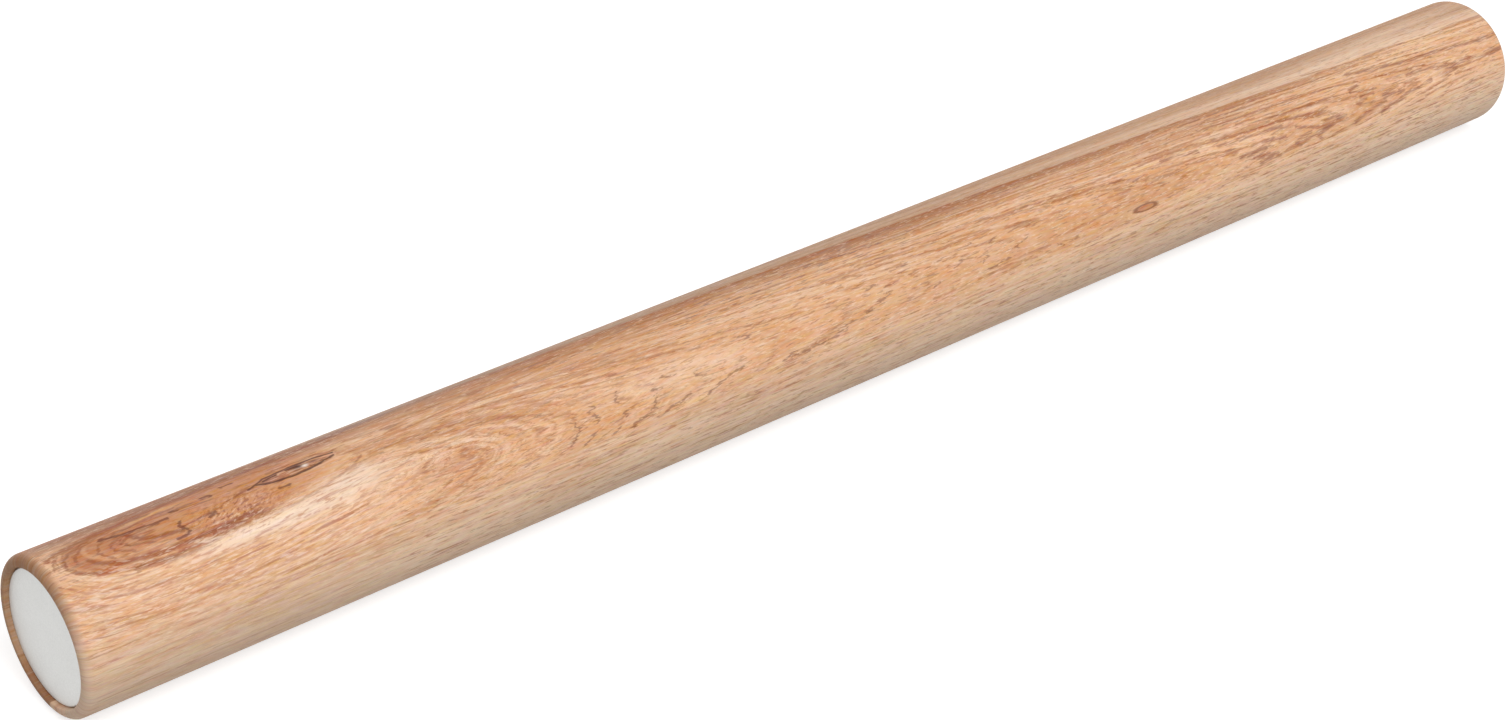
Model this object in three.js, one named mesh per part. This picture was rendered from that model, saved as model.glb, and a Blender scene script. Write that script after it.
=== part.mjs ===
// A plain dowel rolling pin: one turned wooden roller with a round steel plate let into each end.
// Nothing turns on anything else, because the whole pin rolls under the palms.
// Millimetres. +X runs along the roller's axis, +Z is up, and the origin is the middle of that axis.

import * as THREE from "three";

// Roller
const ROLLER_LENGTH = 450; // from rim to rim
const ROLLER_DIAMETER = 35;
const END_ROUNDING = 2; // radius turned on the outer edge of each end

// Seat bored into each end of the roller for its plate
const SEAT_DIAMETER = 30;
const SEAT_EDGE_ROUNDING = 0.3; // radius sanded on the rim's inner edge
const BIT_MARK_DIAMETER = 3; // dimple that the boring bit's point leaves in the seat's floor
const BIT_MARK_DEPTH = 1.5;

// End plate
const PLATE_THICKNESS = 2;
const PLATE_SET_BACK = 1.1; // from the rim in to the plate's face
const PLATE_CLEARANCE = 0.25; // between the plate's edge and the seat's wall
const PLATE_FACE_ROUNDING = 0.3; // radius on the edge that shows
const PLATE_BACK_CHAMFER = 0.4; // lead-in on the edge that goes into the seat first

// Adhesive that holds the plate on the seat's floor
const ADHESIVE_THICKNESS = 0.4;
const ADHESIVE_MARGIN = 1.2; // how far it stops short of the plate's edge

// Fineness of the round shapes
const SIDES = 64;
const STEPS_PER_QUARTER_ROUND = 6;

const QUARTER_TURN = Math.PI / 2;
const HALF_LENGTH = ROLLER_LENGTH / 2;
const ROLLER_RADIUS = ROLLER_DIAMETER / 2;
const SEAT_RADIUS = SEAT_DIAMETER / 2;
const SEAT_DEPTH = PLATE_SET_BACK + PLATE_THICKNESS + ADHESIVE_THICKNESS;
const PLATE_RADIUS = SEAT_RADIUS - PLATE_CLEARANCE;

function oiledWood() {
  return new THREE.MeshStandardMaterial({ color: 0xd9b184, roughness: 0.5, metalness: 0 });
}

function satinSteel() {
  return new THREE.MeshStandardMaterial({ color: 0xd2d1cf, roughness: 0.4, metalness: 1 });
}

function curedAdhesive() {
  return new THREE.MeshStandardMaterial({ color: 0xe9e4d6, roughness: 0.7, metalness: 0 });
}

// Points of a profile, given as a path of (radius, distance along the axis).
function profilePoints(path) {
  return path.getPoints(STEPS_PER_QUARTER_ROUND / 2);
}

// Revolves profile points about the X axis. A flat side of the round faces down.
function turned(points) {
  const flatSideDown = Math.PI / SIDES;
  return new THREE.LatheGeometry(points, SIDES, flatSideDown).rotateZ(-QUARTER_TURN);
}

// One end of the roller, from the middle of the seat's floor out to the full diameter.
// Distances are measured from the middle of the roller towards this end.
function rollerEndPoints() {
  const floor = HALF_LENGTH - SEAT_DEPTH;
  const rimInner = SEAT_RADIUS + SEAT_EDGE_ROUNDING;
  const rimOuter = ROLLER_RADIUS - END_ROUNDING;
  const path = new THREE.Path();
  path.moveTo(0, floor - BIT_MARK_DEPTH);
  path.lineTo(BIT_MARK_DIAMETER / 2, floor);
  path.lineTo(SEAT_RADIUS, floor);
  path.lineTo(SEAT_RADIUS, HALF_LENGTH - SEAT_EDGE_ROUNDING);
  path.absarc(rimInner, HALF_LENGTH - SEAT_EDGE_ROUNDING, SEAT_EDGE_ROUNDING, Math.PI, QUARTER_TURN, true);
  path.lineTo(rimOuter, HALF_LENGTH);
  path.absarc(rimOuter, HALF_LENGTH - END_ROUNDING, END_ROUNDING, QUARTER_TURN, 0, true);
  return profilePoints(path);
}

function makeRoller() {
  const farEnd = rollerEndPoints();
  const nearEnd = farEnd.map((point) => new THREE.Vector2(point.x, -point.y));
  const roller = new THREE.Mesh(turned([...nearEnd, ...farEnd.reverse()]), oiledWood());
  roller.name = "roller";
  return roller;
}

// The plate's own zero is the rim that it is set back from, and its face looks along +X.
function makePlate(name) {
  const face = -PLATE_SET_BACK;
  const back = face - PLATE_THICKNESS;
  const path = new THREE.Path();
  path.moveTo(0, back);
  path.lineTo(PLATE_RADIUS - PLATE_BACK_CHAMFER, back);
  path.lineTo(PLATE_RADIUS, back + PLATE_BACK_CHAMFER);
  path.lineTo(PLATE_RADIUS, face - PLATE_FACE_ROUNDING);
  path.absarc(
    PLATE_RADIUS - PLATE_FACE_ROUNDING,
    face - PLATE_FACE_ROUNDING,
    PLATE_FACE_ROUNDING,
    0,
    QUARTER_TURN,
    false,
  );
  path.lineTo(0, face);
  const plate = new THREE.Mesh(turned(profilePoints(path)), satinSteel());
  plate.name = name;
  return plate;
}

// A thin round bed between the seat's floor and the back of the plate.
function makeAdhesive(name) {
  const radius = PLATE_RADIUS - ADHESIVE_MARGIN;
  const front = -PLATE_SET_BACK - PLATE_THICKNESS;
  const path = new THREE.Path();
  path.moveTo(0, front - ADHESIVE_THICKNESS);
  path.lineTo(radius, front - ADHESIVE_THICKNESS);
  path.lineTo(radius, front);
  path.lineTo(0, front);
  const bed = new THREE.Mesh(turned(profilePoints(path)), curedAdhesive());
  bed.name = name;
  return bed;
}

// The plate and its adhesive, placed at one end and facing out of it.
function makeEndFitting(side, direction) {
  const fitting = new THREE.Group();
  fitting.add(makePlate(`${side}_end_plate`), makeAdhesive(`${side}_plate_adhesive`));
  fitting.position.x = direction * HALF_LENGTH;
  fitting.rotation.z = direction > 0 ? 0 : Math.PI;
  return fitting;
}

const rollingPin = new THREE.Group();
rollingPin.add(makeRoller(), makeEndFitting("left", -1), makeEndFitting("right", 1));

export default rollingPin;
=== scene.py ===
# %% [markdown]
# # A dowel rolling pin
#
# This lesson dresses a plain rolling pin: one straight wooden roller with a satin steel plate let
# into each end. The pin is simple in shape, so almost everything that makes it look real is in two
# surfaces. One is a piece of figured, oiled wood with a knot at its near end, and the other is a
# bead-blasted steel disc. We start by loading the measured model, because every piece that we make
# has to sit exactly where that model is.

# %% Load the measured model
import math

import bmesh
import bpy
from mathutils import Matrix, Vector


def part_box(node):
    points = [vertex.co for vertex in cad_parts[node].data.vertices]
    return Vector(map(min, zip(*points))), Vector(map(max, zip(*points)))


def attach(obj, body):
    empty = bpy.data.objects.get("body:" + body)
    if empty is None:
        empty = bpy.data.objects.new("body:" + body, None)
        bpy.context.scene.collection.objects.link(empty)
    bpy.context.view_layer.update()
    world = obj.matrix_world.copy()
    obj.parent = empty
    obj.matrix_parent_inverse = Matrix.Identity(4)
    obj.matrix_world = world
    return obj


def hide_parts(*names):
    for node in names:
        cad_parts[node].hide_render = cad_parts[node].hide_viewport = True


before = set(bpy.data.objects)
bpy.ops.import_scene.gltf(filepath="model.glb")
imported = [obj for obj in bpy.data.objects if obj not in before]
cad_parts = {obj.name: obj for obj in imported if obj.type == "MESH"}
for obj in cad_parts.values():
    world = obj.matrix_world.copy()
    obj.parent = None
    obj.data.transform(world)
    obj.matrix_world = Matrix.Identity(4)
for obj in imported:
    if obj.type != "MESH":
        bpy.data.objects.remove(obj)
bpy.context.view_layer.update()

# %% [markdown]
# ## Sizes
#
# The length is read from the measured model, so it can't drift away from it. The radius and the
# small radii are written here as real sizes, since the small radii aren't in its boxes. Blender works
# in metres, and one named millimetre keeps them readable.

# %% Read the sizes
MM = 0.001
ROLLER_BODY = "root"

roller_low, roller_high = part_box("roller")
HALF_LENGTH = roller_high.x
ROLLER_RADIUS = 17.5 * MM
END_ROUNDING = 2 * MM
SEAT_RADIUS = 15 * MM
SEAT_DEPTH = 3.5 * MM
SEAT_EDGE_ROUNDING = 0.3 * MM

print("The roller is", round(2 * HALF_LENGTH / MM, 2), "mm long and", 2 * ROLLER_RADIUS / MM, "mm across")

# %% [markdown]
# ## Camera
#
# A straight cylinder tells a lot about the camera that saw it: the two sides of its outline meet at
# a vanishing point, and the end plate shows as an ellipse. Fitting both gives the lens and the
# place of the camera in the roller's own frame. The picture is 1505 by 720 pixels, and the lens is
# given for a sensor 36 mm wide.

# %% Set up the camera
IMAGE_WIDTH = 1505
FOCAL_PIXELS = 2936
SENSOR_WIDTH = 36
CAMERA_PLACE = Vector((-433.8, -455.5, 323.8)) * MM
CAMERA_TURN = math.radians(-40.84)
CAMERA_RISE = math.radians(28.5)

camera = bpy.data.objects.new("camera", bpy.data.cameras.new("camera"))
camera.data.sensor_fit = "HORIZONTAL"
camera.data.sensor_width = SENSOR_WIDTH
camera.data.lens = SENSOR_WIDTH * FOCAL_PIXELS / IMAGE_WIDTH
camera.location = CAMERA_PLACE
camera.rotation_euler = (math.pi / 2 - CAMERA_RISE, 0, CAMERA_TURN)
bpy.context.scene.collection.objects.link(camera)
bpy.context.scene.camera = camera
print("The lens is", round(camera.data.lens, 1), "mm")

# %% [markdown]
# ## A small kit for materials
#
# A wood material needs a lot of arithmetic. Wiring each Math node by hand hides the formula, so a
# Wire wraps one output of a node, and adding or multiplying wires adds the Math node that does it.
# A Sheet holds the nodes of one material.

# %% Wires and sheets
class Wire:
    """A number, vector or colour that flows between the nodes of one sheet."""

    def __init__(self, sheet, socket):
        self.sheet = sheet
        self.socket = socket

    def __add__(self, other):
        return self.sheet.math("ADD", self, other)

    __radd__ = __add__

    def __sub__(self, other):
        return self.sheet.math("SUBTRACT", self, other)

    def __rsub__(self, other):
        return self.sheet.math("SUBTRACT", other, self)

    def __mul__(self, other):
        return self.sheet.math("MULTIPLY", self, other)

    __rmul__ = __mul__

    def __truediv__(self, other):
        return self.sheet.math("DIVIDE", self, other)


class Sheet:
    """The nodes of one material, or of one group that materials use."""

    def __init__(self, tree):
        self.tree = tree
        self.shader = tree.nodes.get("Principled BSDF")

    def join(self, socket, value):
        if isinstance(value, Wire):
            self.tree.links.new(value.socket, socket)
        else:
            socket.default_value = value

    def add(self, kind, *values, **settings):
        """Adds a node, gives it its settings, and joins the values to its first inputs that are in use."""
        node = self.tree.nodes.new(kind)
        for name, setting in settings.items():
            setattr(node, name, setting)
        sockets = [socket for socket in node.inputs if socket.enabled]
        for socket, value in zip(sockets, values):
            self.join(socket, value)
        return node

    def math(self, operation, *values):
        return Wire(self, self.add("ShaderNodeMath", *values, operation=operation).outputs[0])

    def point(self, x, y, z):
        return Wire(self, self.add("ShaderNodeCombineXYZ", x, y, z).outputs[0])

    def vector(self, operation, first, second):
        """Vector arithmetic. A dot product or a distance comes out as a number."""
        node = self.add("ShaderNodeVectorMath", operation=operation)
        self.join(node.inputs[0], first)
        self.join(node.inputs["Scale" if operation == "SCALE" else 1], second)
        is_number = operation in ("DOT_PRODUCT", "DISTANCE")
        return Wire(self, node.outputs["Value" if is_number else "Vector"])

    def clamp(self, value):
        return Wire(self, self.add("ShaderNodeClamp", value).outputs[0])

    def object_point(self):
        return Wire(self, self.add("ShaderNodeTexCoord").outputs["Object"])

    def noise(self, point, detail=2.0, roughness=0.5):
        node = self.add("ShaderNodeTexNoise", noise_dimensions="3D")
        self.join(node.inputs["Vector"], point)
        self.join(node.inputs["Scale"], 1.0)
        self.join(node.inputs["Detail"], detail)
        self.join(node.inputs["Roughness"], roughness)
        return Wire(self, node.outputs[0])

    def ramp(self, value, low, high):
        """0 below low and 1 above high, with a smooth rise between. It falls where low is above high."""
        node = self.add("ShaderNodeMapRange", value, interpolation_type="SMOOTHSTEP")
        self.join(node.inputs["From Min"], low)
        self.join(node.inputs["From Max"], high)
        return Wire(self, node.outputs[0])

    def mix(self, share, first, second):
        """Two colours, mixed."""
        node = self.add("ShaderNodeMix", data_type="RGBA")
        self.join(node.inputs[0], share)
        self.join(node.inputs[6], first)
        self.join(node.inputs[7], second)
        return Wire(self, node.outputs[2])

    def blend(self, share, first, second):
        """Two numbers, mixed."""
        node = self.add("ShaderNodeMix", data_type="FLOAT")
        self.join(node.inputs[0], share)
        self.join(node.inputs[2], first)
        self.join(node.inputs[3], second)
        return Wire(self, node.outputs[0])

    def bump(self, height, distance, strength):
        """Presses a height, from 0 to 1, into the surface. distance is in metres."""
        node = self.add("ShaderNodeBump")
        self.join(node.inputs["Height"], height)
        self.join(node.inputs["Distance"], distance)
        self.join(node.inputs["Strength"], strength)
        self.tree.links.new(node.outputs[0], self.shader.inputs["Normal"])

    def count(self, step):
        print("Nodes after", step + ":", len(self.tree.nodes))


def new_material(name):
    material = bpy.data.materials.new(name)
    material.use_nodes = True
    return material


def paint(red, green, blue):
    """A colour as it looks on a screen, from 0 to 255, turned into the linear values that nodes use."""
    def linear(value):
        share = value / 255
        return share / 12.92 if share <= 0.04045 else ((share + 0.055) / 1.055) ** 2.4

    return (linear(red), linear(green), linear(blue), 1.0)


print("A mid grey of 128 is", round(paint(128, 128, 128)[0], 3), "in linear light")

# %% [markdown]
# ## Where a point is on the roller
#
# A turner thinks of a roller in two numbers: how far along, and how far round. The wood is laid out
# in the same two. Along is in millimetres from the middle. Round is in degrees from the top,
# growing towards the front. Reading Object coordinates means that the pattern stays with the wood
# whatever the mesh looks like. The sideways coordinates are brought back to the full radius, so
# that every streak runs on over the rounded ends.

# %% Lay out the roller
RADIUS_MM = ROLLER_RADIUS / MM
ARC_PER_DEGREE = math.radians(RADIUS_MM)

oiled_wood = new_material("oiled_wood")
wood = Sheet(oiled_wood.node_tree)
place = wood.add("ShaderNodeSeparateXYZ", wood.object_point())
along = Wire(wood, place.outputs[0]) / MM
turn = wood.math("ARCTAN2", 0 - Wire(wood, place.outputs[1]), Wire(wood, place.outputs[2]))
degrees_round = turn * math.degrees(1)
millimetres_round = turn * RADIUS_MM
across = wood.math("SINE", turn) * RADIUS_MM
upward = wood.math("COSINE", turn) * RADIUS_MM


def grain(length, width, seed=0.0, detail=2.0, roughness=0.5):
    """Noise drawn out along the log. length and width are in millimetres, along and across the grain."""
    return wood.noise(wood.point(along / length + seed, across / width, upward / width), detail, roughness)


def patch(at, reach):
    """1 in an oval's middle and 0 far outside it. at and reach are (millimetres along, degrees round)."""
    length = (along - at[0]) / reach[0]
    width = (degrees_round - at[1]) / reach[1]
    return wood.math("EXPONENT", 0 - (length * length + width * width))


print("One degree round the roller is", round(ARC_PER_DEGREE, 3), "mm")

# %% [markdown]
# ## The figure of the wood
#
# A roller is cut lengthwise from a log, so its surface crosses the growth rings. Where the surface
# lies flat to the rings they show as nested arches, and down the flanks they show as straight
# lines. One number for each point, the ring that it belongs to, gives both: take the height of the
# point towards the arches, and take away a slope along the roller, which is steeper near one end.
# Lines of equal ring number are then the lines that we see in the wood.
#
# Nothing that grew is regular. The angle wanders a little with slow noise, and each fibre is
# shifted along the log by its own amount, which breaks the arches into the small steps that make a
# cut arch look sawn and not drawn.

# %% Number the rings
ARCH_CENTRE = 58.5
ARCH_SLOPE = 0.022
ARCH_START = -165.0
ARCH_START_BLUR = 30.0
STEEP_RINGS = 8
STEEP_PLACE = -160
STEEP_FADE = 75

slow = grain(55, 9)
quick = grain(14, 2.6)
wander = (slow - 0.5) * 9 + (quick - 0.5) * 3
fibre_shift = (grain(22, 1.1, seed=4, detail=3, roughness=0.6) - 0.5) * 16

bent = degrees_round + wander + 9 * patch(at=(-140, 52), reach=(26, 20))
height = wood.math("COSINE", (bent - ARCH_CENTRE) * math.radians(1)) * RADIUS_MM
rise = wood.math("SMOOTH_MAX", along + fibre_shift, ARCH_START, ARCH_START_BLUR)
steepness = wood.math("EXPONENT", (rise - STEEP_PLACE) / -STEEP_FADE)
rings = height - rise * ARCH_SLOPE + STEEP_RINGS * steepness
print("Far from the near end, the ring number falls by one in", round(1 / ARCH_SLOPE), "mm")

# %% [markdown]
# ## Knots
#
# A twig that the tree grew over shows as a small eye, and the rings close round it. A knot is
# measured the same way whatever its size: 0 in its middle and 1 on its edge.

# %% Measure the small knots
EYE_PLACE = (-166.5, 9.6)
EYE_REACH = (9.6, 4.4)
SMALL_EYE_PLACE = (76, 69.8)
SMALL_EYE_REACH = (4.2, 2.8)


def knot(at, reach):
    """0 in a knot's middle and 1 on its edge. at and reach are as for a patch."""
    length = (along + fibre_shift * 0.15 - at[0]) / reach[0]
    width = (degrees_round + wander * 0.3 - at[1]) / reach[1]
    return wood.math("SQRT", length * length + width * width)


eye = knot(at=EYE_PLACE, reach=EYE_REACH)
small_eye = knot(at=SMALL_EYE_PLACE, reach=SMALL_EYE_REACH)
rings = wood.blend(wood.ramp(small_eye, 2.2, 0.9), rings, 17 - 1.2 * small_eye)
print("The eyes are", 2 * EYE_REACH[0], "and", 2 * SMALL_EYE_REACH[0], "mm long")

# %% [markdown]
# ## The burl
#
# Near one end a branch left a burl, where the rings close into nested ovals, blunt on the outer
# side and drawn out to a point on the inner side. It is a large knot with a different reach in each
# direction. Below the burl the wood follows its outline for a while, so the lines there hang in a
# shallow bow.

# %% Measure the burl
BURL_PLACE = (-203, 12.5)
BURL_HALF_WIDTH = 23.5
BURL_OUTER_REACH = 17.5

burl_length = along + fibre_shift * 0.12 - BURL_PLACE[0]
burl_width = degrees_round + wander * 0.5 - BURL_PLACE[1]
upper_reach = wood.blend(wood.ramp(burl_width, -12.0, 4.0), 140.0, 51.0)
inner_reach = wood.blend(wood.ramp(burl_width, 14.0, 28.0), upper_reach, 40.0)
past_middle = wood.math("GREATER_THAN", burl_length, 0.0)
length_share = burl_length / wood.blend(past_middle, BURL_OUTER_REACH, inner_reach)
width_share = burl_width / BURL_HALF_WIDTH
burl = wood.math("SQRT", length_share * length_share + width_share * width_share)
print("The burl is", round(2 * BURL_HALF_WIDTH * ARC_PER_DEGREE, 1), "mm wide")

# %% [markdown]
# ## Bands, lines and strokes
#
# Several patterns ride on the ring number. Bands are the slow change of colour from ring to ring,
# streaks are groups of rings, lines are single rings, and threads are the finest lines that still
# show. On the lower flank the wood is quarter-cut and its lines run dead straight, so there the
# distance round takes the place of the ring number. In the burl its own measure does.

# %% Draw the patterns
BURL_ACROSS = BURL_HALF_WIDTH * ARC_PER_DEGREE

flank_edge = degrees_round + (quick - 0.5) * 7
flank_ends = wood.ramp(degrees_round, 170.0, 150.0)
flank = wood.ramp(flank_edge, 60.0, 96.0) * flank_ends
quarter_cut = wood.math("GREATER_THAN", flank_edge, 76.0) * flank_ends
straight = millimetres_round * 0.45 + (slow - 0.5) * 0.5
number = wood.blend(wood.math("GREATER_THAN", quarter_cut, 0.5), rings, straight)
shorten = wood.blend(quarter_cut, 1.0, 5.0)
side = wood.math("SINE", turn) * 1.2
hanging = wood.ramp(along + fibre_shift * 0.5, -148.0, -160.0) * wood.ramp(burl_width, 8.0, 18.0)
near_burl = wood.math("MAXIMUM", wood.ramp(burl, 1.45, 1.0), hanging) * (1 - quarter_cut)


def ring_pattern(spacing, length, seed, detail):
    """Noise that changes from ring to ring. spacing is in rings, length in millimetres along the log."""
    return wood.noise(wood.point(along * shorten / length, number / spacing, side + seed), detail, 0.55)


def burl_pattern(spacing, length, seed):
    """Noise that changes from ring to ring of the burl. spacing is in millimetres across the log."""
    return wood.noise(wood.point(along / length, burl * BURL_ACROSS / spacing, side + seed), 2.0, 0.6)


bands = wood.blend(near_burl, ring_pattern(0.9, 160, seed=0, detail=3), burl_pattern(2.6, 60, seed=3))
lines = wood.blend(near_burl, ring_pattern(0.24, 60, seed=9, detail=2), burl_pattern(0.85, 26, seed=13))
threads = wood.blend(near_burl, ring_pattern(0.075, 30, seed=17, detail=1), burl_pattern(0.4, 9, seed=19))
streaks = ring_pattern(0.36, 150, seed=23, detail=2)
breaks = grain(30, 1.0, seed=5)

band_share = wood.ramp(bands, 0.48, 0.34)
line_share = wood.ramp(lines, 0.45, 0.37) * wood.ramp(breaks, 0.34, 0.54)
thread_share = wood.ramp(threads, 0.5, 0.38)
streak_zone = wood.ramp(degrees_round, 54.0, 36.0) * wood.ramp(degrees_round, -16.0, -6.0) * (1 - near_burl)
dark_streaks = wood.ramp(streaks, 0.45, 0.39) * wood.ramp(breaks, 0.3, 0.5) * streak_zone
pale_streaks = wood.ramp(streaks, 0.55, 0.62) * streak_zone
wood.count("the patterns")

# %% [markdown]
# Strokes don't follow the rings. They are cut-open vessels, short and thin, and they run along the
# log everywhere, with the paler flecks of the wood between them.

# %% Draw the strokes
vessels = grain(3.4, 0.36, seed=11)
flecks = grain(2.2, 0.32, seed=31)
vessel_share = wood.ramp(vessels + (lines - 0.5) * 0.3, 0.42, 0.35)
fleck_share = wood.ramp(flecks, 0.57, 0.66)
bow_strokes = burl_pattern(0.55, 3.6, seed=83)
bow_zone = hanging * (1 - flank)
bow_dark = wood.ramp(bow_strokes, 0.45, 0.36) * bow_zone
bow_pale = wood.ramp(bow_strokes, 0.55, 0.64) * bow_zone
wood.count("the strokes")

# %% [markdown]
# ## Marks drawn one by one
#
# The strongest marks of this piece of wood have their own places: small zigzags where the arches
# are cut across, long dark lines beside them, and cracks in the burl. Noise never puts a mark where
# it is wanted, so these are laid one by one, as a grain painter does it. Each is a few points
# joined by straight strokes. Each fibre then shifts its own part of the mark along the log, and a
# little noise makes the edge ragged. Points are (millimetres along, degrees round).
#
# A stroke is the same sum each time: the distance from a point to a piece of straight line. It is
# worked out once, in a group of nodes, and the group is used again for every stroke.

# %% Make one stroke
stroke_tree = bpy.data.node_groups.new("stroke", "ShaderNodeTree")
for name in ("Paper", "Start", "Run", "Run over its length squared"):
    stroke_tree.interface.new_socket(name, in_out="INPUT", socket_type="NodeSocketVector")
for way in ("INPUT", "OUTPUT"):
    stroke_tree.interface.new_socket("Nearest", in_out=way, socket_type="NodeSocketFloat")

stroke = Sheet(stroke_tree)
given = stroke.add("NodeGroupInput").outputs
offset = stroke.vector("SUBTRACT", Wire(stroke, given["Paper"]), Wire(stroke, given["Start"]))
share = stroke.vector("DOT_PRODUCT", offset, Wire(stroke, given["Run over its length squared"]))
foot = stroke.vector("SCALE", Wire(stroke, given["Run"]), stroke.clamp(share))
nearest = stroke.math("MINIMUM", Wire(stroke, given["Nearest"]), stroke.vector("DISTANCE", offset, foot))
stroke.add("NodeGroupOutput", nearest)
print("One stroke takes", len(stroke_tree.nodes), "nodes")

# %% [markdown]
# The marks are drawn on the unrolled surface, like drawings on paper that is then wrapped round the
# roller. Each fibre shifts its part of the first paper a good way, and of the steady one only a
# little. The pencil joins the points of a mark stroke by stroke, and keeps the distance to the
# nearest stroke of all.

# %% A pencil for marks
FAR_OFF = 10.0

fibre_step = (grain(7, 0.5, seed=41) - 0.5) * 5 * (1 - 0.7 * near_burl)
wobble_round = (grain(2.2, 0.9, seed=43) - 0.5) * 1.2
unrolled = wood.point(along + fibre_step, millimetres_round + wobble_round, 0.0)
steady = wood.point(along + fibre_step * 0.3, millimetres_round + wobble_round * 0.4, 0.0)
ragged = (grain(2.4, 0.4, seed=47) - 0.5) * 1.6


def drawn(marks, half_width, raggedness=1.0, paper=unrolled):
    """1 on the drawn marks, fading to 0 at half_width millimetres from their middle."""
    nearest = FAR_OFF
    for mark in marks:
        for start, end in zip(mark, mark[1:]):
            first = Vector((start[0], start[1] * ARC_PER_DEGREE, 0))
            run = Vector((end[0], end[1] * ARC_PER_DEGREE, 0)) - first
            values = (paper, first, run, run / run.length_squared, nearest)
            nearest = Wire(wood, wood.add("ShaderNodeGroup", *values, node_tree=stroke_tree).outputs[0])
    print("Drew", len(marks), "marks,", 2 * half_width, "mm wide")
    return wood.ramp(nearest / half_width + ragged * raggedness, 1.0, 0.2)


print("The paper is", round(2 * math.pi * RADIUS_MM, 1), "mm from edge to edge")

# %% [markdown]
# The burl has broad dark bands round it with a pale one between, fine lines crowded at its blunt
# end, and a few short cracks.

# %% Draw the burl
burl_bands = [
    [(-222.5, 5), (-220, -0.5), (-215, -3.5), (-208, -6.5), (-200, -8.8), (-190, -10), (-178, -11.5)],
    [(-178, -11.5), (-165, -12.5), (-150, -14.5)],
    [(-215.5, 17), (-213, 24), (-209, 28.5), (-203, 31), (-195, 31.3), (-187, 30), (-180, 28.3)],
    [(-205.3, 7), (-204.5, 12), (-203.5, 16), (-200.5, 19.5), (-195, 21.8)],
    [(-208, 34.5), (-201, 37), (-194, 36.8), (-187, 34.8), (-180, 34), (-176, 33)],
    [(-190, 32.6), (-184, 32.4), (-177, 31.6)],
]
burl_pale = [
    [(-213.5, 2), (-215.2, 8), (-214.6, 14), (-212.5, 20), (-208.5, 24.5), (-203, 26.5), (-197.5, 27.8)],
    [(-212, 0.5), (-205, -2), (-196, -3.5), (-188, -4)],
    [(-211, 31.5), (-205, 34), (-199, 34.5)],
]
burl_lines = [
    [(-222.3, 14), (-221.8, 8), (-220, 3), (-215, -1.5), (-208, -4.3), (-200, -6.5)],
    [(-220, 17), (-219.6, 10), (-217.5, 4), (-213, -0.5), (-206, -3.5), (-198, -4.8)],
    [(-217.6, 16), (-217, 9), (-214.5, 3), (-210, -1), (-204, -2.6)],
    [(-210.5, 23), (-212.8, 15), (-211.6, 7.5), (-207.5, 3), (-201, 0.5), (-193, -1)],
    [(-206, 23), (-209.4, 17.5), (-209.8, 11.5), (-206.5, 7.6), (-201, 5)],
    [(-201.5, 21.5), (-206, 18.5), (-207.4, 13.5), (-205, 10), (-200, 9)],
    [(-219, 23), (-215.5, 28.5), (-210, 33.5), (-204, 36.5), (-197, 37.5)],
    [(-208, 37), (-200, 40), (-193, 38.8), (-186, 35.5)],
    [(-196, 31.8), (-188, 31.2), (-182, 29), (-178, 28)],
    [(-188, 33.5), (-182, 31.5), (-177, 30.5)],
    [(-172, 35), (-165, 32), (-160, 28.5), (-155, 24), (-152, 19)],
    [(-181, 10.6), (-176, 10.2)],
    [(-172, 2.4), (-166, 1.6), (-160, 2.4), (-156.3, 5)],
]
burl_cracks = [
    [(-210.5, 3.5), (-207.5, 5), (-204.5, 6), (-201.5, 6.8), (-199, 7.6), (-196, 7.6)],
    [(-194.6, 15), (-195, 18), (-194.2, 21), (-194, 24), (-194.5, 26.5), (-197, 27.6)],
    [(-187, 1), (-185, 2.6)],
    [(-182, -3), (-179.5, -2.4)],
    [(-194.5, 2), (-193, 3.4)],
    [(-188.5, 19.5), (-187, 18.5)],
    [(-172, 19.5), (-170, 19.5)],
]
eye_bark = [
    [(-177.8, 10.6), (-175.6, 8.6), (-173.5, 6), (-169.5, 5), (-165, 4.6), (-160.5, 5), (-156.8, 6.6)],
    [(-175.6, 9.5), (-173.8, 11.6), (-171, 13), (-167, 13.8), (-163.5, 13), (-160, 11.3), (-157, 9.3)],
    [(-173.8, 8.2), (-170.5, 7)],
    [(-168, 6.3), (-165.8, 6.6), (-164.9, 8)],
]
burl_bands_share = drawn(burl_bands, half_width=0.9, raggedness=0.4)
burl_pale_share = drawn(burl_pale, half_width=0.9, raggedness=0.5) * wood.ramp(along, -187.0, -198.0)
burl_lines_share = drawn(burl_lines, half_width=0.48, raggedness=0.8)
cracks_share = drawn(burl_cracks, half_width=0.62, raggedness=1.1)
bark_share = drawn(eye_bark, half_width=0.42, raggedness=0.4, paper=steady)

# %% [markdown]
# Below the burl, lines hang in long bows and climb past its point, where the fibres close up again.

# %% Draw the bows
bows = [
    [(-198, 48), (-186, 47), (-176, 44), (-166, 39), (-158, 32), (-153, 24)],
    [(-205, 53), (-190, 53), (-177, 50), (-165, 45), (-155, 37), (-148, 28)],
    [(-212, 57), (-195, 59), (-178, 57), (-164, 52), (-153, 45), (-143, 36)],
    [(-220, 62), (-200, 65), (-182, 64), (-166, 60), (-152, 54), (-141, 46)],
    [(-224, 67), (-205, 70), (-185, 70.5), (-168, 67.5), (-154, 62), (-143, 56)],
    [(-224, 41), (-217, 46), (-208, 49.5), (-198, 50.5)],
]
bows_share = drawn(bows, half_width=0.38, raggedness=0.8)

# %% [markdown]
# Past the eye the rings fan out. Some turn down into the first arch, and others run on along the
# top.

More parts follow.
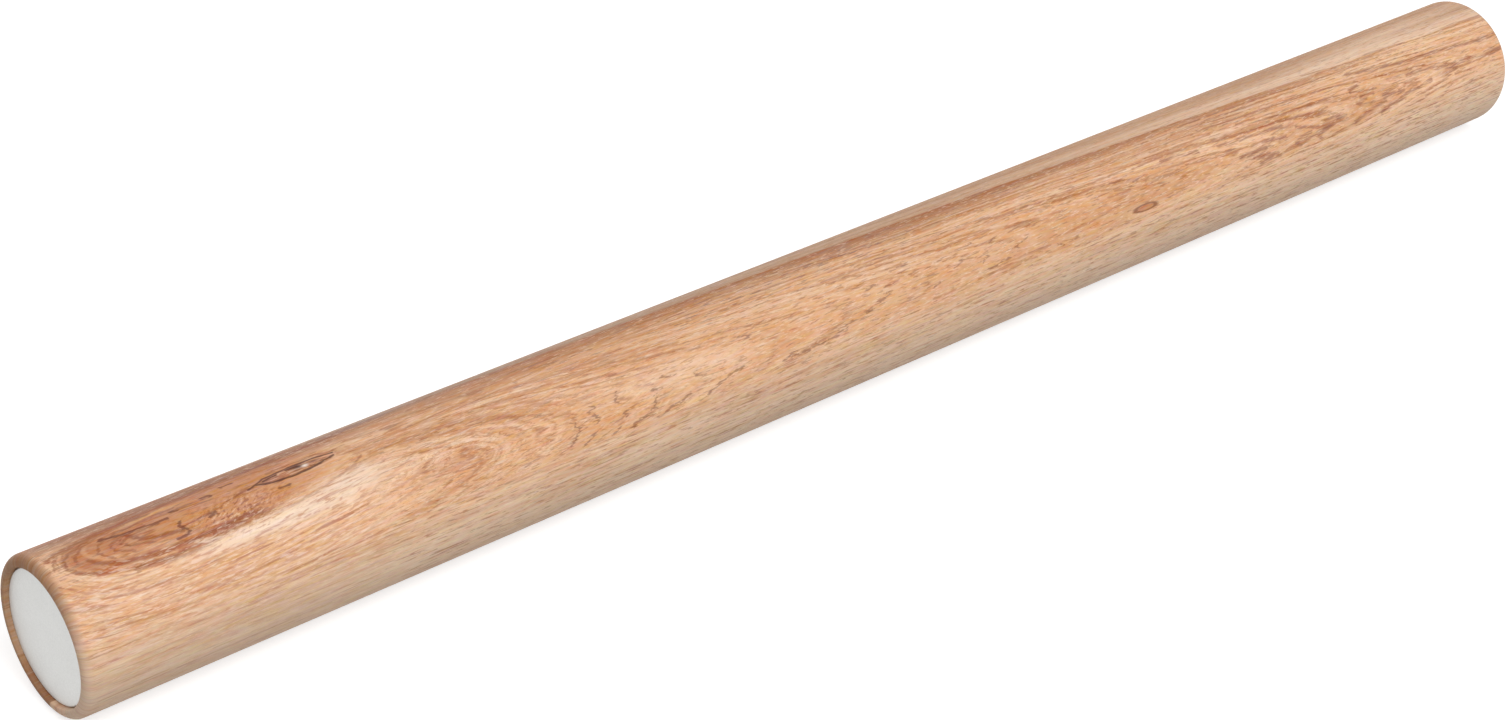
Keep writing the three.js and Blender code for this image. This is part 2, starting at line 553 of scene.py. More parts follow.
# %% Draw the fan
fan = [
    [(-150, 19), (-140, 20.5), (-131, 22), (-124, 25.5), (-119, 31), (-116, 37), (-114.5, 43)],
    [(-143, 23.5), (-136, 26), (-130, 30), (-126, 34)],
    [(-152, 14.5), (-140, 16.5), (-125, 19), (-108, 21), (-95, 22.5), (-82, 25), (-70, 29)],
    [(-152, 10.5), (-142, 11), (-128, 10), (-112, 12.5), (-98, 15.5), (-86, 17.5)],
    [(-128, 57), (-131, 62), (-136, 66), (-143, 70), (-148, 73)],
    [(-114, 26), (-110, 30), (-107, 35)],
    [(-156, 9.5), (-152, 12.5), (-147, 14.5)],
    [(-153, 7), (-152.5, 17)],
]
fan_share = drawn(fan, half_width=1.05, raggedness=0.7)

# %% [markdown]
# The zigzags sit where the arches turn. Their lower ends run out in slanting strokes, and further
# along the same arches show as open arrowheads.

# %% Draw the arch marks
zigzags = [
    [(-103.9, 55), (-102.2, 60.5), (-105.3, 70)],
    [(-97.3, 49.5), (-99, 54.5), (-96.6, 58), (-98.1, 61.5)],
    [(-98.2, 67.3), (-102.2, 73.5)],
    [(-90.1, 47), (-91.9, 52), (-90, 55.5)],
    [(-89.7, 61), (-90.8, 63.3), (-89.7, 66)],
    [(-92.8, 71.2), (-95, 74)],
    [(-81.6, 54.5), (-78.8, 56)],
    [(-81.6, 59.5), (-80.9, 61.5), (-81.9, 66)],
    [(-81.9, 67.3), (-85.6, 71.4), (-89.1, 75)],
    [(-77.5, 49), (-74.7, 51)],
    [(-71.9, 67.8), (-76.9, 71.4), (-81.9, 75)],
    [(-69.4, 55.5), (-67.5, 58.5)],
    [(-68, 73.5), (-66, 72), (-64.5, 70.5)],
    [(-64, 69), (-62, 68), (-60, 66), (-56.5, 64.7)],
    [(-55, 43), (-53, 44.5), (-51.5, 45)],
    [(-45, 72.3), (-42.5, 70), (-40.5, 69)],
    [(-42, 72), (-36, 71.5), (-30, 70.5), (-25, 67.8)],
    [(-26, 65), (-22, 64)],
    [(-19.5, 61), (-18, 62.3), (-16.5, 61.5)],
    [(-16.5, 46.3), (-13, 45.3)],
    [(-14, 58), (-12, 57.8), (-9.5, 56.2)],
    [(-11, 54.5), (-8.5, 54)],
    [(-10.5, 50), (-9.5, 49), (-7.5, 49.5)],
    [(-4, 39), (-1.4, 39.3)],
    [(3, 64.5), (5, 62.5)],
    [(11.4, 56.7), (13, 54), (15, 52.5)],
    [(17, 43), (19, 43.5)],
    [(20, 61), (22, 57)],
    [(21, 68), (25, 66.5), (28, 65.5)],
    [(24, 48.5), (25.5, 46), (26.5, 46)],
    [(31, 60.5), (33, 58), (35, 56)],
    [(45, 70.5), (46.5, 72.5)],
    [(50, 71), (52, 70.5)],
    [(68, 41), (73, 41.5)],
]
zigzag_share = drawn(zigzags, half_width=0.44)

# %% [markdown]
# The far quarter of the roller has the boldest arrowheads. They point along the roller, one inside
# the other.

# %% Draw the far arrowheads
arrowheads = [
    [(87, 39), (92, 40), (95, 42), (100, 43.5)],
    [(107, 45.5), (112, 47), (118, 47.5), (124, 48.8), (131, 50)],
    [(113, 62), (117, 62.2), (123, 62)],
    [(118, 66), (122, 68), (125, 70), (127, 70.5)],
    [(120, 72), (125, 71)],
    [(122.5, 58), (127, 58.2), (131, 60)],
    [(136, 56), (140, 59.5), (144, 62.5)],
    [(141, 64), (137, 65.5), (134.5, 68.5), (136, 71.5)],
    [(150, 65), (146, 67), (143.5, 70), (144.5, 73)],
    [(152, 62), (155.5, 63)],
    [(160, 45), (160.5, 43), (164, 42)],
    [(163, 52), (168, 53.6)],
    [(165, 55), (161, 57), (162.5, 60), (165, 61), (168, 62.5), (172, 64)],
    [(172, 64.2), (168, 65), (164, 67), (161, 69), (158.5, 71.5)],
    [(178, 55), (174, 56.5), (171.5, 58.5), (173, 60), (177, 61.5), (180, 62.5)],
    [(186, 64), (181, 66), (176, 68.5), (171, 71), (169.5, 73)],
    [(163, 29), (168, 31), (173, 33.5), (178, 35), (183, 37), (189, 38.5), (196, 40)],
    [(196, 40), (203, 41.5), (207, 42), (213, 44.5), (223, 45)],
    [(183, 50.5), (188, 51), (192, 52), (196, 54.5), (201, 57), (208, 57), (214, 58.5), (223, 58.5)],
    [(186, 65), (189, 64), (192, 62.5)],
]
arrowhead_share = drawn(arrowheads, half_width=0.85, raggedness=0.9, paper=steady)
dash_noise = grain(1.7, 0.5, seed=59)
zigzag_dashes = zigzag_share * wood.ramp(dash_noise, 0.33, 0.47)
hatch = wood.ramp(grain(4.5, 0.3, seed=97), 0.38, 0.56)
mark_share = wood.math("MAXIMUM", zigzag_dashes * 0.9, arrowhead_share * (0.25 + 0.75 * hatch))

# %% [markdown]
# Where many rings run together the marks blur into small dark blotches. Each is an oval patch, and
# noise along the log breaks it into fibres.

# %% Blot the dark spots
blotches = [
    ((-45, 54), (2, 1.5)),
    ((-18, 61.8), (2, 1.2)),
    ((-9, 50), (1.6, 1.2)),
    ((-3, 39), (1.8, 1.5)),
    ((25, 47), (1.8, 1.3)),
    ((38.5, 47), (2, 1.5)),
    ((47, 46), (2, 1.5)),
    ((70, 41.5), (3, 2)),
    ((70, 53.5), (2, 2)),
    ((83, 52.5), (4.5, 1.7)),
    ((118, 62.8), (3.5, 1.2)),
    ((132.5, 52.3), (4.5, 1.8)),
    ((134, 38), (3, 1.2)),
    ((158.5, 72), (1.7, 1.5)),
    ((170.5, 71.5), (2, 1.4)),
    ((173, 58), (2.2, 1.8)),
    ((180, 47.5), (4, 1.9)),
    ((200, 60.5), (6, 2.5)),
]
blotch_share = 0.0
for spot, reach in blotches:
    blotch_share = blotch_share + patch(at=spot, reach=reach)
blotch_share = wood.clamp(blotch_share) * wood.ramp(grain(6, 0.5, seed=89), 0.28, 0.55)
print("The wood has", len(blotches), "dark blotches")

# %% [markdown]
# Between the arches and the top a few single rings run on for a long way. They are thin and
# unbroken.

# %% Draw the long lines
long_lines = [
    [(-26, 27), (-15, 28.5), (0, 29), (12, 32.5), (22, 36.5), (27, 40), (31, 41.5), (39, 44.5), (36.8, 48)],
    [(-25, 30.3), (-18, 31.5), (-13, 35.5), (-8, 37), (-3, 37.5)],
    [(-15, 25.5), (-8, 26), (-3.5, 27.4)],
    [(-10, 31), (-7, 32), (-5, 34)],
    [(2, 73), (13, 72.2)],
    [(5, 35.5), (9, 38), (12.5, 39.5)],
    [(17, 71.7), (25, 71.2), (33, 71.5), (37, 73.5)],
    [(20, 26), (28, 28.2), (29, 30.5), (33, 31.5), (40, 32), (46, 33.4), (55, 34.6), (75, 34)],
    [(21, 68.2), (30, 68), (42, 68.8)],
    [(47, 64.5), (57, 64), (62, 62), (68, 59.5), (75, 58)],
    [(48, 37.5), (54, 38.3), (62, 39), (68, 39.5)],
    [(53, 29), (57, 31.5)],
    [(65, 51), (73, 51.5)],
    [(68, 48), (74, 49)],
    [(75, 46.5), (93, 47.2), (98, 48)],
    [(77, 36.2), (88, 35.6), (97, 37)],
    [(82, 31.8), (95, 32.2), (107, 33.2)],
    [(85.5, 28.6), (92, 28.4)],
    [(94, 50), (98, 51.5), (107, 54), (113, 55), (125, 56)],
    [(96, 19.5), (110, 20), (125, 21.5), (140, 24)],
    [(99, 37), (108, 41), (113, 42.5), (126, 44.6), (136, 47.5), (145, 49.5), (150, 50)],
    [(100, 15), (111, 15.2), (125, 17), (140, 18.5)],
    [(104, 26), (112, 27.8), (125, 29), (132, 30.5), (140, 31), (150, 32.8), (156, 35.3), (165, 39)],
    [(117, 34), (124, 34.5)],
    [(137, 40), (145, 42.5), (150, 45), (155, 49), (160, 50.5), (164, 52)],
    [(150, 12.5), (156, 14.5), (162, 17), (166, 17.8), (172, 20), (180, 22.5), (186, 24)],
    [(160, 45.5), (165, 49), (170, 50)],
    [(161, 21), (166, 22), (172, 23.5), (177, 25), (183, 26.5)],
    [(172, 40.5), (176, 42.5), (181, 44), (186, 46)],
    [(174, 17), (182, 18), (187, 18.6), (191, 20.5)],
    [(188, 74.5), (194, 72.5), (201, 71), (210, 70.5)],
    [(198, 22), (210, 22), (223, 23)],
    [(200, 24.5), (206, 26), (213, 28), (223, 28.5)],
    [(202, 61), (212, 61.5), (223, 60.5)],
    [(202, 65.5), (208, 67), (216, 68), (223, 68.5)],
    [(-222, 116.5), (-200, 116.9), (-168, 116.7)],
]
long_marks = drawn(long_lines, half_width=0.42, raggedness=0.6, paper=steady)
long_share = long_marks * wood.ramp(breaks, 0.24, 0.44)
wood.count("the hand-drawn marks")

# %% [markdown]
# ## Colour
#
# Oil deepens wood, so the colours are warm: tan heartwood, russet lines, and dark umber in the
# cracks. The outer sapwood is duller, and over the top it is painted darker than further round
# behind, as painted shade. The line between the two climbs along the roller, with a brown band just
# inside it, and the quarter-cut flank is greyer.

# %% Mix the plain wood
TAN = paint(243, 196, 157)
HONEY = paint(226, 172, 128)
RUSSET = paint(172, 112, 76)
UMBER = paint(118, 74, 62)
CREAM = paint(252, 219, 190)
SAP_LINE_MIDDLE = -3.6
SAP_LINE_CLIMB = 0.122

sap_line = degrees_round - along * SAP_LINE_CLIMB - SAP_LINE_MIDDLE + (slow - 0.5) * 3
sap = wood.ramp(sap_line, 0.6, -0.8) * wood.ramp(degrees_round, -150.0, -120.0)
past_painted_top_shade = wood.ramp(degrees_round, -36.0, -70.0)
calm = 1 - 0.55 * wood.math("MAXIMUM", sap * (1 - 0.8 * past_painted_top_shade), flank * 0.7)

tone = wood.ramp(bands + (slow - 0.5) * 0.3, 0.32, 0.68)
heartwood = wood.mix(tone, HONEY, TAN)
# The sapwood colours for the top are painted darker than those further round behind: painted shade.
sap_near_with_painted_shade = wood.mix(tone, paint(180, 144, 116), paint(198, 162, 134))
sap_far_with_painted_shade = wood.mix(tone, paint(192, 148, 114), paint(210, 167, 133))
sapwood = wood.mix(wood.ramp(along, -60.0, 90.0), sap_near_with_painted_shade, sap_far_with_painted_shade)
sapwood = wood.mix(past_painted_top_shade, sapwood, wood.mix(tone, paint(228, 180, 138), paint(246, 206, 168)))
flank_wood = wood.mix(tone, paint(216, 178, 146), paint(232, 199, 168))
brown_edge = wood.ramp(sap_line, 8.0, 2.0) * wood.ramp(along, 200.0, 120.0)
brown_tail = wood.ramp(sap_line, 24.0, 3.0) * wood.ramp(along, 120.0, 20.0)
pale_band = wood.ramp(sap_line, -18.0, -5.0) * wood.ramp(along, -40.0, 200.0)
print("At the middle, the sapwood begins", SAP_LINE_MIDDLE, "degrees round")

# %% [markdown]
# The colours are laid one over another, as a painter lays glazes: each layer has its share and its
# tint. The flank and the heartwood come first, then the browner wood near the top, and last the
# sapwood.

# %% Lay the kinds of wood
def laid(ground, layers):
    """A ground colour with layers of (share, tint) mixed over it, one after another."""
    for share, tint in layers:
        ground = wood.mix(share, ground, tint)
    return ground


flank_wood = wood.mix(wood.ramp(along, 60.0, 210.0) * 0.35, flank_wood, paint(246, 214, 184))
grey_flank = wood.ramp(degrees_round, 95.0, 112.0) * flank_ends
flank_wood = wood.mix(grey_flank * 0.5, flank_wood, paint(228, 203, 178))
colour = wood.mix(flank, heartwood, flank_wood)
colour = laid(colour, [
    (patch(at=(-186, -18), reach=(44, 14)) * 0.9, paint(138, 90, 66)),
    (patch(at=(-108, -5), reach=(48, 10)) * 0.65, paint(182, 125, 84)),
    (brown_tail * 0.78, paint(180, 122, 83)),
    (brown_edge * 0.62, paint(164, 104, 66)),
    (sap, wood.mix(pale_band * 0.85, sapwood, CREAM)),
])
wood.count("the plain wood")

# %% [markdown]
# The rings come over the plain wood. They are bolder towards the far end, and calmer in the sapwood
# and on the flank. Where the grain is curly, the finest threads show more.

# %% Lay the rings over it
bold = 0.55 + 0.27 * wood.ramp(along, 40.0, 150.0)
colour = laid(colour, [
    (line_share * calm * bold, RUSSET),
    (pale_streaks * (1 - sap) * (1 - brown_edge) * 0.45, CREAM),
    (dark_streaks * (1 - 0.7 * sap) * bold * 0.75, paint(178, 116, 76)),
])
curly = 1 + patch(at=(-128, 45), reach=(36, 26))
colour = wood.mix(thread_share * calm * curly * 0.24, colour, RUSSET)
wood.count("the rings")

# %% [markdown]
# Past the burl the fibres turn in a whorl. It is measured like a knot, and noise on that measure
# draws its faint rings, some russet and some cream.

# %% Turn the whorl
whorl = knot(at=(-136, 52), reach=(26, 24))
whorl_noise = wood.noise(wood.point(along / 40, whorl * 9, 61.0), detail=2.0)
whorl_zone = patch(at=(-128, 42), reach=(24, 24))
colour = laid(colour, [
    (wood.ramp(whorl_noise, 0.47, 0.38) * whorl_zone * 0.4, RUSSET),
    (wood.ramp(whorl_noise, 0.54, 0.62) * whorl_zone * 0.3, CREAM),
])
wood.count("the whorl")

# %% [markdown]
# The burl is redder than the rest. Its bands, lines and bows go over it, and the fan, the blotches
# and the long lines of the arches are laid in the same way.

# %% Tint the burl
inside_burl = wood.ramp(burl, 1.06, 0.86) * wood.ramp(along, -152.0, -172.0)
colour = laid(colour, [
    (inside_burl * 0.68, paint(198, 126, 80)),
    (band_share * inside_burl * 0.6, paint(174, 102, 66)),
    (line_share * inside_burl * 0.5, paint(150, 88, 60)),
    (burl_pale_share * 0.6, paint(236, 186, 142)),
    (burl_bands_share * 0.75, paint(156, 90, 60)),
    (burl_lines_share * 0.52, paint(144, 82, 56)),
    (bows_share * 0.4, paint(194, 136, 106)),
    (fan_share * 0.42, paint(184, 120, 80)),
    (blotch_share * 0.55, paint(158, 104, 84)),
    (long_share * (0.56 - 0.35 * flank), paint(162, 100, 70)),
])
wood.count("the burl")

# %% [markdown]
# A pale patch lies below the burl, where the fibres dive and catch the light: pale wood with a
# painted highlight on it. Soft patches, some brown and some pale, lie along the rest of the roller,
# and the dark ones along the top edge of the near half are darker wood with painted shade on it.
# Each has its place, its reach, an amount and a tint.

# %% Stain the patches, with painted highlight and painted shade
stains_and_painted_light = [
    ((-211, 0), (11, 16), 0.4, paint(170, 102, 66)),
    # The next four, along the top edge of the near half, are darker wood with painted shade on it.
    ((-214, -21), (10, 4), 0.5, paint(150, 98, 74)),
    ((-192, -15), (42, 8), 0.22, paint(120, 76, 56)),
    ((-130, -20), (42, 6), 0.4, paint(146, 110, 90)),
    ((-144, -18), (10, 4), 0.5, paint(146, 122, 114)),
    # The next three make the pale patch below the burl: pale wood with a painted highlight on it.
    ((-182, 42), (13, 5), 0.75, paint(255, 231, 206)),
    ((-169, 41), (12, 7), 0.75, paint(255, 231, 206)),
    ((-157, 34), (8, 8), 0.75, paint(255, 231, 206)),
    ((10, 62), (80, 15), 0.55, paint(210, 156, 112)),
    ((5, 34), (80, 20), 0.3, paint(212, 158, 112)),
    ((-190, 66), (30, 9), 0.35, paint(212, 162, 122)),
    ((-213, 50), (14, 12), 0.3, CREAM),
    ((-74, 50), (20, 11), 0.35, CREAM),
    ((112, 37), (14, 3), 0.4, CREAM),
    ((146, 45.5), (7, 2), 0.4, CREAM),
    ((153, 57), (5, 5), 0.4, CREAM),
    ((105, 22), (46, 8), 0.4, paint(190, 136, 100)),
    ((105, 64), (48, 9), 0.35, paint(202, 148, 108)),
    ((0, 6), (70, 9), 0.3, paint(176, 126, 92)),
    ((192, 0), (42, 9), 0.5, CREAM),
    ((188, 26), (36, 8), 0.4, paint(252, 210, 168)),
    ((-134, 51), (6, 7), 0.4, paint(188, 126, 98)),
    ((-117, 35), (9, 8), 0.3, paint(200, 138, 102)),
]
colour = laid(colour, [(patch(at, reach) * amount, tint) for at, reach, amount, tint in stains_and_painted_light])
colour = wood.mix(line_share * bow_zone * 0.4, colour, paint(192, 128, 100))
print("The wood has", len(stains_and_painted_light), "soft stains")

# %% [markdown]
# Vessels and flecks come over the broad colours. In one place the fibres curl, and there the flecks
# lie aslant.

# %% Lay the fine strokes over it
aslant = wood.point((along - millimetres_round) / 1.9, (along * 0.6 + millimetres_round) / 0.75, 53.0)
curls = wood.noise(aslant, detail=2.0)
curl_zone = patch(at=(-183, 24), reach=(10, 13))
colour = laid(colour, [
    (wood.ramp(curls, 0.47, 0.39) * curl_zone * 0.8, paint(150, 88, 60)),
    (wood.ramp(curls, 0.56, 0.64) * curl_zone * 0.42, CREAM),
    (bow_dark * 0.55, paint(196, 134, 108)),
    (bow_pale * 0.45, paint(255, 226, 204)),
])
even = 1 - 0.35 * patch(at=(-105, 45), reach=(48, 32))
quiet = (1 - 0.4 * sap) * (1 - 0.75 * hanging) * even
grey_vessels = wood.clamp(patch(at=(-30, 10), reach=(60, 10)) + patch(at=(74, 42), reach=(8, 5)))
vessel_colour = wood.mix(grey_vessels, paint(158, 110, 84), paint(140, 112, 112))
colour = laid(colour, [
    (vessel_share * quiet * (0.5 + 0.15 * grey_vessels), vessel_colour),
    (fleck_share * calm * (1 - 0.7 * inside_burl) * even * 0.42, CREAM),
])
wood.count("the fine strokes")

# %% [markdown]
# Cut ends drink more oil, so the rims are darker than the sides. Round each rim the colour is also
# painted darker over the top and back and lighter over the front and bottom: painted shade and
# painted light. The zigzags, the arrowheads and the cracks come over everything else.

# %% Darken the rims and lay the marks
RIM_START = 222.8
RIM_FULL = 224.6

end_grain = wood.ramp(wood.math("ABSOLUTE", along), RIM_START, RIM_FULL)
# Round the rim: painted shade over the top and back, painted light towards the front and bottom.
painted_rim_light = wood.ramp(degrees_round, 20.0, 100.0)
rim_oil_and_painted_light = wood.mix(painted_rim_light, paint(160, 118, 86), paint(226, 198, 174))
colour = wood.mix(end_grain * (0.72 - 0.32 * painted_rim_light), colour, rim_oil_and_painted_light)
mark_colour = wood.mix(wood.ramp(along, -40.0, 90.0), paint(130, 86, 70), paint(146, 92, 74))
colour = laid(colour, [
    (mark_share * 0.65, mark_colour),
    (cracks_share * 0.75, UMBER),
])
print("The rims are dark over the last", round(HALF_LENGTH / MM - RIM_START, 1), "mm")

# %% [markdown]
# The large eye has a dark ring of bark round a streaked middle, with one pale spot in it. The small
# eye is a brown oval with a thin dark edge.

# %% Paint the eyes
eye_inside = wood.ramp(eye, 1.0, 0.8)
eye_streaks = grain(2.6, 0.42, seed=67)
colour = laid(colour, [
    (eye_inside * 0.75, paint(182, 120, 84)),
    (eye_inside * wood.ramp(eye_streaks, 0.46, 0.38) * 0.6, paint(120, 78, 64)),
    (eye_inside * wood.ramp(eye_streaks, 0.54, 0.62) * 0.6, paint(230, 192, 164)),
    (bark_share * 0.85, paint(98, 64, 56)),
    (patch(at=(-165.4, 7), reach=(1.3, 2)) * 0.9, paint(92, 62, 56)),
    (patch(at=(-163.8, 8.7), reach=(0.75, 1.3)), paint(250, 236, 222)),
    (wood.ramp(small_eye, 0.9, 0.5) * 0.6, paint(194, 130, 90)),
])
small_bark = wood.ramp(wood.math("ABSOLUTE", small_eye - 0.9), 0.35, 0.05)
colour = wood.mix(small_bark * 0.75, colour, paint(132, 80, 58))
wood.count("the eyes")

# %% [markdown]
# No two fibres take up the oil alike, so last of all the hue and the strength of the colour vary a
# little from fibre to fibre.

# %% Vary the hue
hue_noise = grain(6, 0.75, seed=73, detail=3, roughness=0.7)
strength_noise = grain(5, 0.75, seed=79, detail=3, roughness=0.7)
varied = wood.add("ShaderNodeHueSaturation")
wood.join(varied.inputs["Hue"], 0.5 + (hue_noise - 0.5) * (0.06 + 0.04 * flank))
wood.join(varied.inputs["Saturation"], 0.98 + (strength_noise - 0.5) * 0.8)
wood.join(varied.inputs["Color"], colour)
wood.join(wood.shader.inputs["Base Color"], Wire(wood, varied.outputs[0]))
wood.count("the last change of colour")

# %% [markdown]
# ## Feel of the surface
#
# Oiled wood is satin: the solid parts shine a little and the open vessels don't. The same vessels
# and cracks are shallow grooves, so they go into a fine bump of a few hundredths of a millimetre.

# %% Give it a surface
GROOVE_DEPTH = 0.04 * MM

open_grain = wood.math("MAXIMUM", vessel_share, cracks_share)
wood.shader.inputs["Specular IOR Level"].default_value = 0.05
wood.join(wood.shader.inputs["Roughness"], 0.5 + open_grain * 0.14 + (flecks - 0.5) * 0.12)
wood.bump(0 - open_grain - thread_share * 0.3, GROOVE_DEPTH, 0.6)
wood.count("the surface of the wood")

# %% [markdown]
# ## The roller
#
# A turner makes the roller on a lathe, and a spin is Blender's lathe: the profile goes round the
# axis once. The profile has sharp corners, and the rims are rounded afterwards by a bevel, as they
# are by sandpaper.

# %% Turn the roller
SIDES = 192
MERGE_DISTANCE = 0.001 * MM
RIM_TOLERANCE = 0.01 * MM


def spun(name, profile):
    """A closed solid from a profile of (along, radius) points that starts and ends on the axis."""
    shape = bmesh.new()
    corners = [shape.verts.new((x, 0, radius)) for x, radius in profile]
    edges = [shape.edges.new(pair) for pair in zip(corners, corners[1:])]
    bmesh.ops.spin(
        shape,
        geom=corners + edges,
        cent=(0, 0, 0),
        axis=(1, 0, 0),
        angle=2 * math.pi,
        steps=SIDES,
        use_merge=True,
    )
    bmesh.ops.remove_doubles(shape, verts=shape.verts, dist=MERGE_DISTANCE)
    bmesh.ops.recalc_face_normals(shape, faces=shape.faces)
    mesh = bpy.data.meshes.new(name)
    piece = bpy.data.objects.new(name, mesh)
    bpy.context.scene.collection.objects.link(piece)
    return piece, shape


def rim_edges(shape, x, radius):
    """The ring of edges at one place along and one radius."""
    def on_rim(vert):
        off_rim = max(abs(vert.co.x - x), abs(vert.co.yz.length - radius))
        return off_rim < RIM_TOLERANCE

    return [edge for edge in shape.edges if all(on_rim(vert) for vert in edge.verts)]


def round_rim(shape, x, radius, size, segments):
    bmesh.ops.bevel(
        shape,
        geom=rim_edges(shape, x, radius),
        affect="EDGES",
        offset=size,
        offset_type="OFFSET",
        segments=segments,
        profile=0.5,
        material=-1,
    )


def finish_piece(piece, shape, material, slot, *nodes):
    shape.to_mesh(piece.data)
    shape.free()
    piece.data.shade_smooth()
    piece.data.materials.append(material)
    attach(piece, ROLLER_BODY)
    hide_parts(*nodes)
    print(piece.name, "has", len(piece.data.polygons), "faces")


seat_floor = HALF_LENGTH - SEAT_DEPTH
half_profile = [
    (seat_floor, 0),
    (seat_floor, SEAT_RADIUS),
    (HALF_LENGTH, SEAT_RADIUS),
    (HALF_LENGTH, ROLLER_RADIUS),
]
other_half = [(-x, radius) for x, radius in reversed(half_profile)]
roller, roller_shape = spun("turned_roller", half_profile + other_half)
for end in (-HALF_LENGTH, HALF_LENGTH):
    round_rim(roller_shape, end, ROLLER_RADIUS, END_ROUNDING, segments=10)
    round_rim(roller_shape, end, SEAT_RADIUS, SEAT_EDGE_ROUNDING, segments=4)
finish_piece(roller, roller_shape, oiled_wood, "oiled_wood", "roller")

# %% [markdown]
# ## The finish of the steel
#
# The plates are steel, bead-blasted to an even, soft grey. Small glass beads leave millions of
# dimples, too fine to see one by one, which spread every reflection wide. So most of the look is a
# high roughness. The dimples still show as a faint sparkle, fingers leave slow clouds of duller
# metal, and wiping leaves a few hairlines.

# %% Mix the steel
DIMPLE_SIZE = 0.25 * MM
CLOUD_SIZE = 6 * MM
HAIRLINE_WIDTH = 0.12 * MM
HAIRLINE_LENGTH = 9 * MM
DIMPLE_DEPTH = 0.012 * MM

satin_steel = new_material("satin_steel")
steel = Sheet(satin_steel.node_tree)
steel_place = steel.object_point()
dimples = steel.noise(steel.vector("SCALE", steel_place, 1 / DIMPLE_SIZE), detail=2.0)
clouds = steel.noise(steel.vector("SCALE", steel_place, 1 / CLOUD_SIZE), detail=3.0)
wiping = Vector((0.0, 1 / HAIRLINE_LENGTH, 1 / HAIRLINE_WIDTH))
hairline_noise = steel.noise(steel.vector("MULTIPLY", steel_place, wiping), detail=1.0)
hairlines = steel.ramp(hairline_noise, 0.66, 0.74)

bright = steel.clamp(0.5 + (dimples - 0.5) * 0.9 + (clouds - 0.5) * 0.3)
steel_colour = steel.mix(bright, paint(195, 195, 193), paint(220, 220, 218))
steel.join(steel.shader.inputs["Base Color"], steel_colour)
steel.shader.inputs["Metallic"].default_value = 1.0
steel.join(steel.shader.inputs["Roughness"], 0.6 + (clouds - 0.5) * 0.08 - hairlines * 0.12)
steel.bump(dimples, DIMPLE_DEPTH, 0.5)
steel.count("the surface of the steel")

# %% [markdown]
# ## End plates
#
# Each plate is a disc punched from sheet and pressed into a seat in the end of the roller, a little
# below the rim. A plain cylinder would do for its size, but its edge would be razor sharp. The real
# edge is broken, so that it doesn't catch a finger, and a thin line of light runs round it. So the
# plate is spun like the roller, and its front edge is bevelled.

# %% Make the plates
PLATE_FACE_ROUNDING = 0.3 * MM

for end in ("left", "right"):
    node = f"{end}_end_plate"
    low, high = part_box(node)
    plate_radius = high.z
    face = low.x if end == "left" else high.x
    back = high.x if end == "left" else low.x
    plate_profile = [(face, 0), (face, plate_radius), (back, plate_radius), (back, 0)]
    plate, plate_shape = spun(f"{end}_steel_plate", plate_profile)
    round_rim(plate_shape, face, plate_radius, PLATE_FACE_ROUNDING, segments=4)
    finish_piece(plate, plate_shape, satin_steel, "satin_steel", node)

# %% [markdown]
# ## Adhesive
#
# A thin bed of two-part adhesive holds each plate. Its shape is right in the measured model and the
# plate hides it, so the model's own piece stays and only gets its finish: cream, a little cloudy,
# and with tiny bubbles that were stirred in.

# %% Finish the adhesive
BUBBLE_SPACING = 0.9 * MM
BUBBLE_DEPTH = 0.05 * MM
HAZE_SIZE = 4 * MM

plate_adhesive = new_material("plate_adhesive")
adhesive = Sheet(plate_adhesive.node_tree)
adhesive_place = adhesive.object_point()
cloudy = adhesive.noise(adhesive.vector("SCALE", adhesive_place, 1 / HAZE_SIZE), detail=3.0)
cells = adhesive.add("ShaderNodeTexVoronoi", adhesive.vector("SCALE", adhesive_place, 1 / BUBBLE_SPACING))
bubbles = adhesive.ramp(Wire(adhesive, cells.outputs["Distance"]), 0.3, 0.18)
cream = adhesive.mix(cloudy, paint(224, 216, 196), paint(240, 235, 222))
bubbly_cream = adhesive.mix(bubbles * 0.4, cream, paint(206, 196, 172))
adhesive.join(adhesive.shader.inputs["Base Color"], bubbly_cream)
adhesive.join(adhesive.shader.inputs["Roughness"], 0.55 + (cloudy - 0.5) * 0.2)
adhesive.bump(0 - bubbles, BUBBLE_DEPTH, 0.6)
for end in ("left", "right"):
    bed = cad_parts[f"{end}_plate_adhesive"]
    bed.data.materials.clear()
    bed.data.materials.append(plate_adhesive)
    print(bed.name, "has its finish")

# %% [markdown]
# ## Stage
#
# The pin lies on a white table in a white room, as in a catalogue picture. The table could be lit
# until it turned white, but that much light would wash out the wood. So the floor and the world are
# brighter only for the rays that come from the camera, straight or by way of something shiny or
# clear. The light on the wood stays at a plain level, and the floor still shows the pin's soft
# shadow.

# %% Lay the floor
FLOOR_REACH = 6
FLOOR_GREY = 0.55
FLOOR_GLOW = 0.68


def seen_rays(tree):
    """1 on rays from the camera, straight or by way of something shiny or clear."""
    sheet = Sheet(tree)
    rays = sheet.add("ShaderNodeLightPath").outputs
    seen = Wire(sheet, rays["Is Camera Ray"])
    for name in ("Is Glossy Ray", "Is Transmission Ray"):
        seen = sheet.math("MAXIMUM", seen, Wire(sheet, rays[name]))
    return seen


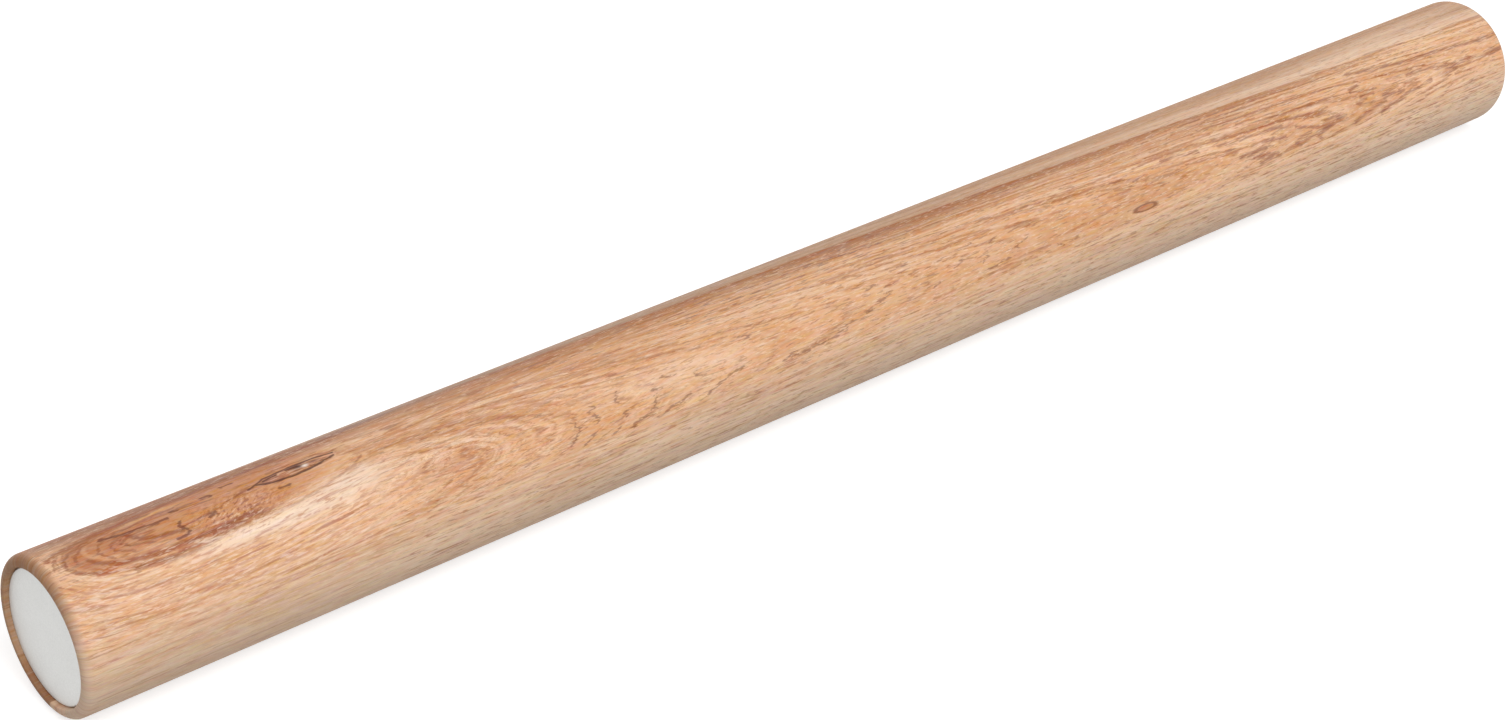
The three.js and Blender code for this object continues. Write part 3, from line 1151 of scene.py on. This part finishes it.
floor_shape = bmesh.new()
bmesh.ops.create_grid(floor_shape, x_segments=1, y_segments=1, size=FLOOR_REACH)
bmesh.ops.translate(floor_shape, verts=floor_shape.verts, vec=(0, 0, roller_low.z))
floor = bpy.data.objects.new("floor", bpy.data.meshes.new("floor"))
floor_shape.to_mesh(floor.data)
floor_shape.free()
bpy.context.scene.collection.objects.link(floor)

pale_floor = new_material("pale_floor")
pale = Sheet(pale_floor.node_tree)
pale.shader.inputs["Base Color"].default_value = (FLOOR_GREY, FLOOR_GREY, FLOOR_GREY, 1)
pale.shader.inputs["Roughness"].default_value = 1.0
pale.shader.inputs["Specular IOR Level"].default_value = 0.0
pale.shader.inputs["Emission Color"].default_value = (1, 1, 1, 1)
glow = seen_rays(pale.tree) * FLOOR_GLOW
pale.join(pale.shader.inputs["Emission Strength"], glow)
floor.data.materials.append(pale_floor)
print("The floor lies at", round(roller_low.z / MM, 2), "mm")

# %% [markdown]
# One large round softbox stands in front of the pin and above it. A weaker one stands low behind
# it, so that the back isn't left in the dark, and the room fills the shadows from all sides.

# %% Light the pin
ROOM_LIGHT = 0.35

world = bpy.data.worlds.new("studio")
world.use_nodes = True
bpy.context.scene.world = world
studio = Sheet(world.node_tree)
background = studio.tree.nodes["Background"]
background.inputs["Color"].default_value = (1, 1, 1, 1)
room_strength = studio.blend(seen_rays(studio.tree), ROOM_LIGHT, 1.0)
studio.join(background.inputs["Strength"], room_strength)


def softbox(name, place, size, power):
    """A round lamp that looks at the middle of the pin."""
    lamp = bpy.data.lights.new(name, "AREA")
    lamp.shape = "DISK"
    lamp.size = size
    lamp.energy = power
    holder = bpy.data.objects.new(name, lamp)
    holder.location = place
    holder.rotation_euler = (-Vector(place)).to_track_quat("-Z", "Y").to_euler()
    bpy.context.scene.collection.objects.link(holder)
    print(name, "is", round(holder.location.length, 2), "m away")


softbox("key_softbox", place=(-0.3, -2.35, 2.35), size=2.4, power=80)
softbox("back_softbox", place=(0.3, 2.3, 0.5), size=2.0, power=26)

bpy.context.scene.view_settings.view_transform = "Standard"
